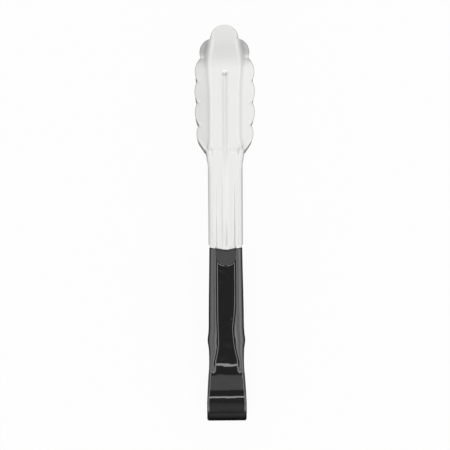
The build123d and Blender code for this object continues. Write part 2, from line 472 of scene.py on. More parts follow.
@dataclass(frozen=True)
class SheetProfile:
    """The outside face of the bare steel across one section, as a height over x.

    The whole numbers are strips of the grid. Each pressed mark has a depth or height, and the places and
    widths it needs. drawn_lines gives each line's place across the arm, depth and length.
    """

    shape: ArmShape
    web: int = 18
    wall: int = 5
    rail: int = 8
    arc: int = 8
    flank: int = 8
    rim: float = 0.45
    strap_depth: float = 0.05
    flank_room: float = 1.5
    crease_depth: float = 0.1
    crease_width: float = 1.2
    crease_past: float = 7.0
    crease_half: float = 7.0
    crease_fade: float = 2.0
    score_depth: float = 0.45
    score_width: float = 0.42
    dimple_depth: float = 1.0
    dimple_width: float = 1.15
    dimple_back: float = 28.4
    flute_depth: float = 0.3
    flute_width: float = 1.2
    flute_reach: float = 3.0
    swell_height: float = 0.7
    swell_back: float = 75.3
    swell_tailward: float = 3.0
    swell_headward: float = 2.0
    swell_from: float = 7.3
    swell_rise: float = 1.3
    drawn_width: float = 0.45
    # Share of painted shade for each millimetre of a drawn line's depth, a darker colour standing in for its
    # dark reflections.
    drawn_line_shade: float = 1.3
    drawn_lines: tuple[tuple[float, float, float], ...] = (
        (-7.8, 0.16, 40.0), (-2.0, 0.2, 75.0), (0.3, 0.2, 22.0), (7.8, 0.16, 40.0),
    )

    @property
    def columns(self) -> int:
        """Number of strips from the middle of the arm to one edge."""
        return self.web + self.wall + self.rail + self.arc + self.flank

    def height(self, section: Section, x: float) -> float:
        """Height of the outside face.

        Args:
            section: The section.
            x: Distance from the middle of the arm.
        Returns:
            The height there.
        """
        t = self.shape.tongs
        inner = section.recess - t.recess_wall
        if x <= inner:
            return section.floor - section.groove * max(0.0, 1.0 - x / t.groove_half)
        if x <= section.recess:
            lip = section.top - section.radius * (1 - math.cos(section.lip_turn))
            return towards(section.floor, lip, smooth((x - inner) / t.recess_wall))
        if x <= section.arc_start:
            return section.top
        if x <= section.arc_end:
            across = x - section.arc_start
            return section.top - section.radius + math.sqrt(max(section.radius**2 - across**2, 0.0))
        at_end = section.top - section.radius * (1 - math.cos(section.lean))
        return at_end - (x - section.arc_end) * math.tan(section.lean)

    def stamped(self, s: float, x: float, end: float) -> float:
        """Small marks of the press: neck line, dimple, lines along the stem, flutes and the neck's swellings.

        Args:
            s: Place along the arm.
            x: Distance from the middle of the arm.
            end: Half-width of the arm there.
        Returns:
            How far the face is pushed in.
        """
        t = self.shape.tongs
        crease = self.crease_depth * bell((s - t.stem_end - self.crease_past) / self.crease_width)
        crease *= 1.0 - smooth((x - self.crease_half) / self.crease_fade)
        away = math.hypot(x, s - t.reach + self.dimple_back)
        dimple = self.dimple_depth * bell(away / self.dimple_width)
        score = self.score_depth * bell((x - self.shape.recess.at(s) + t.recess_wall / 2) / self.score_width)
        score *= self.shape.sunk.at(s) / self.shape.sunk.at(t.grip_end)
        nearest = min(abs(s - notch) for notch in self.shape.notches()[2:])
        flute = self.flute_depth * bell(nearest / self.flute_width)
        flute *= smooth((x - end + self.flute_reach) / self.flute_reach)
        past = s - t.reach + self.swell_back
        past /= self.swell_headward if past > 0 else self.swell_tailward
        swell = self.swell_height * bell(past) * smooth((x - self.swell_from) / self.swell_rise)
        return crease + dimple + score + flute - swell

    def drawn(self, s: float, x: float) -> float:
        """Fine lines that forming draws down the stem; each fades away from the grip.

        Args:
            s: Place along the arm.
            x: Place across the arm, negative on the left.
        Returns:
            How far the face is pushed in.
        """
        past = s - self.shape.tongs.grip_end
        if past <= 0:
            return 0.0
        return sum(
            depth * bell((x - place) / self.drawn_width) * (1.0 - smooth(past / length))
            for place, depth, length in self.drawn_lines
        )

    def row(self, s: float) -> list[Point]:
        """Points from the middle of the arm to its edge.

        Args:
            s: Place along the arm.
        Returns:
            Pairs of x and height.
        """
        section = self.shape.section(s)
        t = self.shape.tongs
        formed = self.shape.formed(s)
        if formed < 1.0:
            depth = towards(self.strap_depth, section.depth, formed)
            lean = math.atan2(depth, section.edge - section.corner)
            section = replace(section, depth=depth, lean=lean)
        end = min(section.edge, self.shape.half_width(s))
        inner = section.recess - t.recess_wall
        xs = spread(0, inner, self.web) + spread(inner, section.recess, self.wall)
        xs += spread(section.recess, max(section.arc_start, section.recess), self.rail)
        turn = spread(section.lip_turn, section.lean, self.arc)
        xs += [section.arc_start + section.radius * math.sin(a) for a in turn]
        full = section.arc_end + (self.flank_room if s > t.stem_end else 0.0)
        ratio = min(1.0, end / full)
        xs = [x * ratio for x in xs]
        start = section.arc_end * ratio
        rim = max(end - self.rim, (start + end) / 2)
        xs += spread(start, rim, self.flank - 1) + [rim, end]
        return [(x, self.height(section, x) - self.stamped(s, x, end)) for x in xs]


@dataclass(frozen=True)
class GripProfile:
    """The closed loop round the vinyl at one section: outside, rounded edge, then inside.

    The whole numbers are strips of the loop, in order round it.
    """

    shape: ArmShape
    web: int = 14
    wall: int = 6
    rail: int = 2
    arc: int = 10
    flange: int = 4
    edge: int = 8
    inside: int = 4
    corner: int = 4
    back: int = 6
    crisp: float = 0.05
    boss_rim: float = 0.3
    boss_clear: float = 0.3
    boss_run: float = 0.9
    lip_out: float = 0.1
    foot_in: float = 0.2
    least_rail: float = 0.5
    least_radius: float = 0.9
    least_run: float = 0.02
    edge_drop: float = 0.35
    knee: float = 0.9
    knee_share: float = 0.8
    least_lean: float = 0.2

    @property
    def half_columns(self) -> int:
        """Number of strips round one half of the loop."""
        outside = self.web + self.wall + self.rail + self.arc + self.flange
        return outside + self.edge + self.inside + self.corner + self.back

    def boss(self, x: float, s: float, floor: float, top: float) -> float:
        """Height of the vinyl in the recess, which a boss with a round foot fills up to the dip line.

        Args:
            x: Distance from the middle of the arm.
            s: Place along the arm.
            floor: Height of the recess there.
            top: Height of the rails there.
        Returns:
            The height.
        """
        t = self.shape.tongs
        away = math.hypot(x, min(s - t.boss_s, 0.0))
        inside = 1.0 - smooth((away - t.boss_radius + self.boss_rim) / (2 * self.boss_rim))
        closed = smooth((t.grip_end - s - self.boss_clear) / self.boss_run)
        return towards(floor, top - t.boss_sunk, inside * closed)

    def strap_half(self, s: float) -> list[Point]:
        """Points round one half of the flat strap, with a fully rounded edge.

        Args:
            s: Place along the arm.
        Returns:
            Pairs of x and height, as many as on the channel.
        """
        t = self.shape.tongs
        sec = self.shape.section(s)
        climb = 1.0 / math.cos(sec.slope)
        level = self.shape.strap_height(s)
        top, base = level + t.coat * climb, level - (t.steel + t.coat) * climb
        half = (top - base) / 2
        round_x = sec.edge + t.coat - half
        points = [(x, top) for x in spread(0, round_x, self.web + self.wall + self.rail)]
        for a in spread(0, math.pi, self.arc + self.flange + self.edge):
            points.append((round_x + half * math.sin(a), (top + base) / 2 + half * math.cos(a)))
        points += [(x, base) for x in spread(round_x, 0, self.inside + self.corner + self.back)]
        return points + [(0.0, base)]

    def outside_half(self, sec: Section, coat: float, up: float) -> tuple[list[Point], Point]:
        """Points from the middle of the channel's outside to the end of the shoulder's rounding.

        Args:
            sec: The section.
            coat: Thickness of the vinyl.
            up: That thickness measured straight up.
        Returns:
            Pairs of x and height, and the point that follows them.
        """
        t = self.shape.tongs
        wall = math.tan(math.atan2(sec.top - sec.floor, t.recess_wall) / 2)
        rail = max(sec.recess - coat * wall + self.lip_out, self.least_rail)
        inner = rail - t.recess_wall - self.foot_in
        floor, top = sec.floor + up, sec.top + up
        radius = max(sec.radius + coat, self.least_radius)
        start = sec.corner + (coat - radius) * math.tan(sec.lean / 2)

        def rounded(a: float) -> Point:
            """The point where the rounding has turned by a."""
            return start + radius * math.sin(a), top - radius * (1 - math.cos(a))

        crown = lip_turn(rail - start, radius)
        lip = rounded(crown)[1]
        points = [(x, self.boss(x, sec.s, floor, top)) for x in spread(0, inner, self.web)]
        for x in spread(inner, rail, self.wall):
            level = towards(floor, lip, ((x - inner) / (rail - inner)) ** 2)
            points.append((x, max(level, self.boss(x, sec.s, floor, top))))
        if start > rail:
            points += [(x, lip) for x in spread(rail, start, self.rail)]
        else:
            points += [rounded(a) for a in spread(crown, crown + self.crisp, self.rail)]
            crown += self.crisp
        return points + [rounded(a) for a in spread(crown, sec.lean, self.arc)], rounded(sec.lean)

    def inside_half(self, sec: Section, coat: float, climb: float, arc_end: Point) -> list[Point]:
        """Points down the channel's flange, round its edge and back along the inside.

        Args:
            sec: The section.
            coat: Thickness of the vinyl.
            climb: How much longer a thickness is when measured straight up.
            arc_end: Where the shoulder's rounding ends.
        Returns:
            Pairs of x and height, to the middle of the inside.
        """
        steel = self.shape.tongs.steel
        up, down = coat * climb, (steel + coat) * climb
        along = (math.cos(sec.lean), -math.sin(sec.lean))
        normal = (math.sin(sec.lean), math.cos(sec.lean))
        foot_n = min(sec.top - max(sec.depth, down) + up * self.edge_drop, arc_end[1] - self.least_run)
        foot = (arc_end[0] + (arc_end[1] - foot_n) / math.sin(sec.lean) * along[0], foot_n)
        points = [between(arc_end, foot, i / self.flange) for i in range(self.flange)]
        half = steel / 2 + coat
        centre = (foot[0] - normal[0] * half, foot[1] - normal[1] * half)
        for a in spread(0, math.pi, self.edge):
            c, k = half * math.cos(a), half * math.sin(a)
            points.append(tuple(m + n * c + v * k for m, n, v in zip(centre, normal, along)))
        heel = (centre[0] - normal[0] * half, centre[1] - normal[1] * half)
        base = sec.floor - down
        rise = max(base - heel[1], self.least_run)
        knee = min(self.knee, rise * self.knee_share)
        top = (heel[0] - along[0] * rise / max(math.sin(sec.lean), self.least_lean), heel[1] + rise)
        low = (base - knee - heel[1]) / rise
        points += [between(heel, top, low * i / self.inside) for i in range(self.inside)]
        side = towards(heel[0], top[0], (rise - knee) / rise)
        for a in spread(0, math.pi / 2, self.corner):
            points.append((side - knee * (1 - math.cos(a)), base - knee + knee * math.sin(a)))
        points += [(x, base) for x in spread(side - knee, 0, self.back)]
        return points + [(0.0, base)]

    def half_loop(self, s: float, thin: float) -> list[Point]:
        """Points round one half of the loop, turning the strap into the channel.

        Args:
            s: Place along the arm.
            thin: Share of the coat's thickness, below 1 near the dip line.
        Returns:
            Pairs of x and height, from the middle of the outside to the middle of the inside.
        """
        formed = self.shape.formed(s)
        if formed <= 0.0:
            return self.strap_half(s)
        sec = self.shape.section(s)
        climb = 1.0 / math.cos(sec.slope)
        coat = self.shape.tongs.coat * thin
        outside, arc_end = self.outside_half(sec, coat, coat * climb)
        channel = outside + self.inside_half(sec, coat, climb, arc_end)
        if formed >= 1.0:
            return channel
        return [between(a, b, formed) for a, b in zip(self.strap_half(s), channel)]

    def loop(self, s: float, thin: float = 1.0) -> list[Point]:
        """Points once round the whole loop, the last on top of the first.

        Args:
            s: Place along the arm.
            thin: Share of the coat's thickness.
        Returns:
            Pairs of x and height.
        """
        right = self.half_loop(s, thin)
        left = [(-x, n) for x, n in reversed(right)]
        return right + left[1:]


@dataclass(frozen=True)
class MeshMaker:
    """Turns shaped grids and rings into finished objects."""

    tongs: Tongs

    def draped_grid(
        self, name: str, rows: Sequence[float], columns: int, point: Callable[[int, int], GridPoint],
        side: Side, material: bpy.types.Material,
    ) -> bpy.types.Object:
        """Shapes a flat grid into part of an arm.

        Args:
            name: Name of the object.
            rows: Places along the arm, one for each row of vertices.
            columns: Number of vertices in a row.
            point: Gives x, s, n and the share of painted shade for a row and column number.
            side: The arm it belongs to.
            material: Its finish.
        Returns:
            The object, in place.
        """
        bm = bmesh.new()
        bmesh.ops.create_grid(bm, x_segments=columns - 1, y_segments=len(rows) - 1, size=0.5)
        strip = bm.verts.layers.float_vector.new(STRIP_ATTRIBUTE)
        rim = bm.verts.layers.float.new(SHADE_ATTRIBUTE)
        for vert in bm.verts:
            column = round((vert.co.x + 0.5) * (columns - 1))
            row = round((vert.co.y + 0.5) * (len(rows) - 1))
            x, s, n, painted_shade_share = point(row, column)
            # Painted shade: the outline of the head is darkened fully, and every other vertex by its own
            # share.
            vert[rim] = 1.0 if vert.is_boundary and s > self.tongs.stem_end else painted_shade_share
            vert[strip] = Vector((x, s, n)) * MM
            vert.co = side.place(self.tongs, x, s, n)
        bmesh.ops.remove_doubles(bm, verts=bm.verts, dist=MERGE_DISTANCE)
        return self.finish(bm, name, material)

    def ring_sweep(
        self, name: str, loop: Sequence[Point], steps: Sequence[tuple[float, int]],
        material: bpy.types.Material,
    ) -> bpy.types.Object:
        """Spins a closed loop round the bow's axis, from the upper crest to the lower one.

        Args:
            name: Name of the object.
            loop: Pairs of x and distance from the axis.
            steps: Pairs of angle in radians and number of steps, one after another.
            material: Its finish.
        Returns:
            The object, in place.
        """
        bm = bmesh.new()
        made = bmesh.ops.create_circle(bm, segments=len(loop), radius=1.0)
        ordered = sorted(made["verts"], key=lambda v: math.atan2(v.co.y, v.co.x))
        for vert, (x, n) in zip(ordered, loop):
            vert.co = Side.UPPER.place(self.tongs, x, 0.0, n)
        ends = list(bm.edges)
        for angle, count in steps:
            swept = bmesh.ops.spin(
                bm, geom=ends, cent=(0, 0, 0), axis=(1, 0, 0), angle=angle, steps=count, use_merge=False
            )
            ends = [e for e in swept["geom_last"] if isinstance(e, bmesh.types.BMEdge)]
        bmesh.ops.remove_doubles(bm, verts=bm.verts, dist=MERGE_DISTANCE)
        bmesh.ops.recalc_face_normals(bm, faces=bm.faces)
        strip = bm.verts.layers.float_vector.new(STRIP_ATTRIBUTE)
        for vert in bm.verts:
            turn = math.atan2(vert.co.z, vert.co.y) % (2 * math.pi)
            radius = math.hypot(vert.co.y, vert.co.z)
            vert[strip] = Vector((vert.co.x, (math.pi / 2 - turn) * self.tongs.bow_radius * MM, radius))
        return self.finish(bm, name, material)

    @staticmethod
    def finish(bm: bmesh.types.BMesh, name: str, material: bpy.types.Material) -> bpy.types.Object:
        """Writes a shaped mesh to an object in the scene.

        Args:
            bm: The mesh; it is freed.
            name: Name of the object.
            material: Its finish.
        Returns:
            The object.
        """
        for face in bm.faces:
            face.smooth = True
        mesh = bpy.data.meshes.new(name)
        bm.to_mesh(mesh)
        bm.free()
        mesh.materials.append(material)
        obj = bpy.data.objects.new(name, mesh)
        bpy.context.scene.collection.objects.link(obj)
        LOG.info("%s: %d faces", name, len(mesh.polygons))
        return obj


@dataclass(frozen=True)
class SteelArm:
    """One formed steel arm, as a sheet with real thickness and broken edges."""

    tongs: Tongs
    shape: ArmShape
    maker: MeshMaker
    handle_rows: int = 26
    stem_rows: int = 30
    lobe_rows: int = 20
    tip_rows: int = 30
    dimple_rows: int = 7
    dimple_step: float = 0.35
    tip_gap: float = 0.004
    broken_edge: float = 0.3
    edge_segments: int = 3
    edge_angle: float = 55.0

    def rows(self) -> list[float]:
        """Places of the cross-sections, close together round the scallops.

        Returns:
            The places, from the bow's crest to the tip.
        """
        t = self.tongs
        notches = self.shape.notches()
        rows = spread(0, t.bend_end, self.handle_rows) + spread(t.bend_end, t.grip_end, self.handle_rows)
        rows += spread(t.grip_end, notches[0], self.stem_rows)
        for start, end in zip(notches, notches[1:]):
            rows += spread(start, end, self.lobe_rows, eased=True)
        turns = spread(0, math.pi / 2, self.tip_rows)
        rows += [towards(notches[-1], t.reach, math.sin(a)) for a in turns]
        dimple = t.reach - SheetProfile.dimple_back
        rows += [dimple + self.dimple_step * i for i in range(-self.dimple_rows, self.dimple_rows + 1)]
        return sorted(rows) + [t.reach - self.tip_gap]

    def build(self, side: Side, material: bpy.types.Material) -> bpy.types.Object:
        """Builds the arm on one side.

        Args:
            side: Upper or lower.
            material: The steel.
        Returns:
            The object.
        """
        profile = SheetProfile(self.shape)
        rows = self.rows()
        halves = [profile.row(s) for s in rows]
        middle = profile.columns

        def point(row: int, column: int) -> GridPoint:
            """Works out one vertex of the sheet.

            Args:
                row: Number of the cross-section.
                column: Number of the vertex in it.
            Returns:
                Its x, s, n and share of painted shade.
            """
            x, n = halves[row][abs(column - middle)]
            x = math.copysign(x, column - middle)
            line = profile.drawn(rows[row], x)
            # A drawn line's depth also sets its painted shade.
            return x, rows[row], n - line, line * profile.drawn_line_shade

        name = f"{side.value}_arm_sheet"
        arm = self.maker.draped_grid(name, rows, 2 * middle + 1, point, side, material)
        thick = arm.modifiers.new("strip thickness", "SOLIDIFY")
        thick.thickness = self.tongs.steel * MM
        thick.offset = -1.0
        edge = arm.modifiers.new("broken edge", "BEVEL")
        edge.width = self.broken_edge * MM
        edge.segments = self.edge_segments
        edge.limit_method = "ANGLE"
        edge.angle_limit = math.radians(self.edge_angle)
        edge.harden_normals = True
        return arm


@dataclass(frozen=True)
class VinylGrip:
    """The dipped skin over one handle.

    lip gives distances back from the dip line and the share of the coat's thickness there. The dip line bows
    towards the tail in the middle, and the skin sags at one side of the recess.
    """

    tongs: Tongs
    shape: ArmShape
    maker: MeshMaker
    seam: float = 0.4
    rail_run: float = 20.0
    boss_margin: float = 1.0
    row_counts: tuple[int, ...] = (3, 60, 34, 26, 40)
    lip: tuple[Point, ...] = (
        (0.9, 1.0), (0.45, 0.97), (0.2, 0.86), (0.06, 0.66), (0.0, 0.4), (0.0, -0.3),
    )
    dip_depth: float = 0.9
    dip_half: float = 6.5
    dip_run: float = 8.0
    sag: Point = (5.2, 45.0)
    sag_depth: float = 1.2
    sag_width: float = 2.2
    sag_length: float = 9.0

    def rows(self) -> list[Point]:
        """Places of the cross-sections and the share of the coat's thickness at each.

        Returns:
            Pairs of place and share, from the bow's crest to the dip line.
        """
        t = self.tongs
        foot = t.boss_s - t.boss_radius - self.boss_margin
        marks = (0, self.seam, t.bend_end, t.bend_end + self.rail_run, foot, t.grip_end - self.lip[0][0])
        rows = []
        for start, end, count in zip(marks, marks[1:], self.row_counts):
            rows += [(s, 1.0) for s in spread(start, end, count)]
        return rows + [(t.grip_end - back, share) for back, share in self.lip]

    def build(self, side: Side, material: bpy.types.Material) -> bpy.types.Object:
        """Builds the skin on one side.

        Args:
            side: Upper or lower.
            material: The vinyl.
        Returns:
            The object.
        """
        profile = GripProfile(self.shape)
        rows = self.rows()
        loops = [profile.loop(s, thin) for s, thin in rows]

        def point(row: int, column: int) -> GridPoint:
            """Works out one vertex of the skin.

            Args:
                row: Number of the cross-section.
                column: Number of the vertex in it.
            Returns:
                Its x, s, n and share of painted shade, none on the vinyl.
            """
            x, n = loops[row][column]
            s = rows[row][0]
            near = smooth((s - self.tongs.grip_end + self.dip_run) / self.dip_run)
            dip = self.dip_depth * near * (1.0 - smooth(abs(x) / self.dip_half))
            away = math.hypot((x - self.sag[0]) / self.sag_width, (s - self.sag[1]) / self.sag_length)
            return x - self.sag_depth * bell(away), s - dip, n, 0.0

        name = f"{side.value}_grip_skin"
        places = [s for s, _ in rows]
        return self.maker.draped_grid(name, places, 2 * profile.half_columns + 1, point, side, material)


@dataclass(frozen=True)
class Bow:
    """The round of the strip at the tail, bare or in vinyl; the sweep is fine beside the crest lines."""

    tongs: Tongs
    shape: ArmShape
    maker: MeshMaker
    fine_angle: float = 3.0
    fine_steps: int = 8
    round_steps: int = 90

    def sweep_steps(self) -> list[tuple[float, int]]:
        """Turns of the sweep.

        Returns:
            Pairs of angle in radians and number of steps.
        """
        fine = math.radians(self.fine_angle)
        total = math.radians(180.0 - self.tongs.open_angle)
        return [(fine, self.fine_steps), (total - 2 * fine, self.round_steps), (fine, self.fine_steps)]

    def sleeve(self, material: bpy.types.Material) -> bpy.types.Object:
        """Builds the vinyl sleeve in the given material."""
        loop = GripProfile(self.shape).loop(0.0)[:-1]
        return self.maker.ring_sweep("bow_sleeve_skin", loop, self.sweep_steps(), material)

    def band(self, material: bpy.types.Material) -> bpy.types.Object:
        """Builds the steel band inside the sleeve.

        Args:
            material: The steel.
        Returns:
            The object.
        """
        half, out = self.tongs.bow_half, self.tongs.bow_radius
        low = out - self.tongs.steel
        loop = [(half, out), (half, low), (-half, low), (-half, out)]
        return self.maker.ring_sweep("spring_bow_band", loop, self.sweep_steps(), material)


@dataclass(frozen=True)
class Wiring:
    """Adds nodes to one node tree and joins them."""

    tree: bpy.types.NodeTree

    def feed(self, node: bpy.types.Node, inputs: dict[str | int, Any]) -> None:
        """Fills a node's inputs.

        Args:
            node: The node.
            inputs: A value, or another node's output, for each socket that is filled.
        """
        for socket, source in inputs.items():
            if isinstance(source, bpy.types.NodeSocket):
                self.tree.links.new(source, node.inputs[socket])
            else:
                node.inputs[socket].default_value = source

    def add(self, kind: str, inputs: dict[str | int, Any], **settings: Any) -> bpy.types.Node:
        """Adds a node.

        Args:
            kind: Kind of node.
            inputs: What its sockets are filled with.
            settings: Its own settings.
        Returns:
            The node.
        """
        node = self.tree.nodes.new(kind)
        for name, value in settings.items():
            setattr(node, name, value)
        self.feed(node, inputs)
        return node

    def attribute(self, name: str, output: str) -> bpy.types.NodeSocket:
        """Reads one output of a vertex attribute."""
        return self.add("ShaderNodeAttribute", {}, attribute_name=name).outputs[output]

    def maths(self, operation: str, *values: Any) -> bpy.types.NodeSocket:
        """Works out a number from one or more numbers."""
        return self.add("ShaderNodeMath", dict(enumerate(values)), operation=operation).outputs["Value"]

    def ranged(self, value: Any, span: Point, levels: Point, eased: bool = False) -> bpy.types.NodeSocket:
        """Goes from one level to another as a value crosses a span.

        Args:
            value: The value.
            span: Where the change starts and ends.
            levels: Levels before and after the change.
            eased: True to ease the change at both ends.
        Returns:
            The level.
        """
        inputs = {
            "Value": value, "From Min": span[0], "From Max": span[1],
            "To Min": levels[0], "To Max": levels[1],
        }
        kind = "SMOOTHSTEP" if eased else "LINEAR"
        return self.add("ShaderNodeMapRange", inputs, interpolation_type=kind).outputs["Result"]

    def ramp(self, value: bpy.types.NodeSocket, stops: Sequence[Point]) -> bpy.types.NodeSocket:
        """Turns one coordinate of a direction into a brightness.

        Args:
            value: The coordinate, from -1 to 1.
            stops: Pairs of place, from 0 to 1, and brightness.
        Returns:
            The brightness.
        """
        ramp = self.add("ShaderNodeValToRGB", {"Fac": self.ranged(value, (-1.0, 1.0), WHOLE)})
        elements = ramp.color_ramp.elements
        while len(elements) < len(stops):
            elements.new(0.5)
        for element, (spot, level) in zip(elements, stops):
            element.position = spot
            element.color = (level, level, level, 1.0)
        return ramp.outputs["Color"]


def blank(name: str) -> tuple[bpy.types.Material, Wiring, bpy.types.ShaderNode]:
    """Makes a material with one principled shader.

    Args:
        name: Name of the material.
    Returns:
        The material, its wiring and the shader.
    """
    material = bpy.data.materials.new(name)
    material.use_nodes = True
    return material, Wiring(material.node_tree), material.node_tree.nodes["Principled BSDF"]


def number_group(name: str, output: str) -> Wiring:
    """Starts a node group with one number as its output.

    Args:
        name: Name of the group.
        output: Name of the output.
    Returns:
        The group's wiring.
    """
    group = bpy.data.node_groups.new(name, "ShaderNodeTree")
    group.interface.new_socket(output, in_out="OUTPUT", socket_type="NodeSocketFloat")
    return Wiring(group)


@dataclass(frozen=True)
class SatinSteel:
    """Satin stainless steel with a lengthwise grain, with painted shade darkening the head's outline and the
    drawn lines.
    """

    name: str = "satin_steel"
    bright: Colour = (0.92, 0.92, 0.91, 1.0)
    # Colour of the painted shade on the head's outline and on the drawn lines.
    painted_shade_colour: Colour = (0.28, 0.28, 0.27, 1.0)
    tint: Colour = (0.45, 0.45, 0.45, 1.0)
    roughness: float = 0.38
    grain_scale: tuple[float, float, float] = (2600.0, 30.0, 2600.0)
    grain_detail: float = 3.0
    grain_strength: float = 0.08
    grain_height: float = 0.00008

    def grain_group(self) -> bpy.types.ShaderNodeTree:
        """Makes the lengthwise grain of the strip, as a node group.

        Returns:
            The group, with a height output.
        """
        wiring = number_group("strip grain", "Height")
        place = wiring.attribute(STRIP_ATTRIBUTE, "Vector")
        stretch = wiring.add("ShaderNodeMapping", {"Vector": place, "Scale": self.grain_scale})
        noise = wiring.add(
            "ShaderNodeTexNoise",
            {"Vector": stretch.outputs["Vector"], "Scale": 1.0, "Detail": self.grain_detail},
        )
        wiring.add("NodeGroupOutput", {"Height": noise.outputs["Fac"]})
        return wiring.tree

    def material(self) -> bpy.types.Material:
        """Makes the steel.

        Returns:
            The material.
        """
        material, wiring, shader = blank(self.name)
        rim = wiring.attribute(SHADE_ATTRIBUTE, "Fac")
        # Painted shade: the colour is mixed towards the dark shade colour where the shade attribute is set.
        colour = wiring.add("ShaderNodeMix", {0: rim, 6: self.bright, 7: self.painted_shade_colour}, data_type="RGBA")
        grain = wiring.add("ShaderNodeGroup", {}, node_tree=self.grain_group())
        bump = wiring.add("ShaderNodeBump", {
            "Strength": self.grain_strength, "Distance": self.grain_height, "Height": grain.outputs["Height"],
        })
        wiring.feed(shader, {
            "Base Color": colour.outputs[2], "Metallic": 1.0, "Roughness": self.roughness,
            "Specular Tint": self.tint, "Normal": bump.outputs["Normal"],
        })
        return material


@dataclass(frozen=True)
class BlackVinyl:
    """Glossy black dipped vinyl, slightly uneven and duller on the boss; painted shade cuts its coat's
    reflection at the tail and at grazing angles.
    """

    tongs: Tongs
    name: str = "black_vinyl"
    colour: Colour = (0.005, 0.005, 0.006, 1.0)
    coat_ior: float = 2.3
    roughness: float = 0.05
    boss_roughness: float = 0.5
    boss_gloss: float = 0.5
    boss_edge: Point = (0.1, -0.2)
    # Painted shade at grazing angles: the span of facing and the coat weights across it.
    grazing_shade_span: Point = (0.22, 0.56)
    grazing_shade_gloss: Point = (1.0, 0.04)
    # Painted shade at the tail: the places along the strip where it starts and ends, and the coat weight past
    # them.
    tail_shade_span: Point = (-7.6, -9.0)
    tail_shade_gloss: float = 0.22
    uneven_scale: float = 130.0
    uneven_detail: float = 1.0
    uneven_strength: float = 0.5
    uneven_height: float = 0.0005

    def boss_group(self) -> bpy.types.ShaderNodeTree:
        """Makes a node group that picks out the face of the boss.

        Returns:
            The group, with one output that is 1 on the face and 0 elsewhere.
        """
        t = self.tongs
        wiring = number_group("boss face", "Face")
        centre = (0.0, t.boss_s * MM, t.rail_n * MM)
        place = wiring.attribute(STRIP_ATTRIBUTE, "Vector")
        shifted = wiring.add("ShaderNodeVectorMath", {0: place, 1: centre}, operation="SUBTRACT")
        tailward = (1.0, 0.0, 1.0)
        foot = wiring.add(
            "ShaderNodeVectorMath", {0: shifted.outputs["Vector"], 1: tailward}, operation="MINIMUM"
        )
        away = wiring.add("ShaderNodeVectorMath", {0: foot.outputs["Vector"]}, operation="LENGTH")
        outer, inner = ((t.boss_radius + margin) * MM for margin in self.boss_edge)
        wiring.add("NodeGroupOutput", {"Face": wiring.ranged(away.outputs["Value"], (outer, inner), WHOLE)})
        return wiring.tree

    def material(self) -> bpy.types.Material:
        """Makes the vinyl.

        Returns:
            The material.
        """
        material, wiring, shader = blank(self.name)
        wiring.feed(shader, {
            "Base Color": self.colour, "Specular IOR Level": 0.0, "Coat Weight": 1.0,
            "Coat IOR": self.coat_ior, "Coat Roughness": self.roughness,
        })
        face = wiring.add("ShaderNodeGroup", {}, node_tree=self.boss_group()).outputs["Face"]
        place = wiring.attribute(STRIP_ATTRIBUTE, "Vector")
        along = wiring.add("ShaderNodeSeparateXYZ", {"Vector": place}).outputs["Y"]
        facing = wiring.add("ShaderNodeLayerWeight", {}).outputs["Facing"]
        # Painted shade at grazing angles: the coat's reflection is cut where the surface turns away.
        edge = wiring.ranged(facing, self.grazing_shade_span, self.grazing_shade_gloss)
        dull = wiring.ranged(face, WHOLE, (1.0, self.boss_gloss))
        # Painted shade at the tail: the coat's reflection fades out towards the table.
        tail_shade_span = (self.tail_shade_span[0] * MM, self.tail_shade_span[1] * MM)
        tail_shade = wiring.ranged(along, tail_shade_span, (1.0, self.tail_shade_gloss))
        noise = wiring.add(
            "ShaderNodeTexNoise",
            {"Vector": place, "Scale": self.uneven_scale, "Detail": self.uneven_detail},
        )
        bump = wiring.add("ShaderNodeBump", {
            "Strength": self.uneven_strength, "Distance": self.uneven_height, "Height": noise.outputs["Fac"],
        })
        wiring.feed(shader, {
            "Coat Weight": wiring.maths("MULTIPLY", wiring.maths("MULTIPLY", edge, dull), tail_shade),
            "Coat Roughness": wiring.ranged(face, WHOLE, (self.roughness, self.boss_roughness)),
            "Coat Normal": bump.outputs["Normal"],
        })
        return material


@dataclass(frozen=True)
class WhiteTable:
    """Plain white table, which keeps a pale shadow."""

    colour: Colour = (0.95, 0.95, 0.95, 1.0)
    roughness: float = 0.9
    shine: float = 0.1
    whiteness: float = 0.94

    def material(self) -> bpy.types.Material:
        """Makes the table's surface, mostly plain white where it is seen or mirrored.

        Returns:
            The material.
        """
        material, wiring, shader = blank("white_table")
        wiring.feed(shader, {
            "Base Color": self.colour, "Roughness": self.roughness, "Specular IOR Level": self.shine,
        })
        ray = wiring.add("ShaderNodeLightPath", {}).outputs
        seen = wiring.maths("MAXIMUM", ray["Is Camera Ray"], ray["Is Glossy Ray"])
        seen = wiring.maths("MAXIMUM", seen, ray["Is Transmission Ray"])
        white = wiring.add("ShaderNodeEmission", {}).outputs["Emission"]
        mix = wiring.add("ShaderNodeMixShader", {
            "Fac": wiring.maths("MULTIPLY", seen, self.whiteness), 1: shader.outputs["BSDF"], 2: white,
        })
        wiring.feed(wiring.tree.nodes["Material Output"], {"Surface": mix.outputs["Shader"]})
        return material


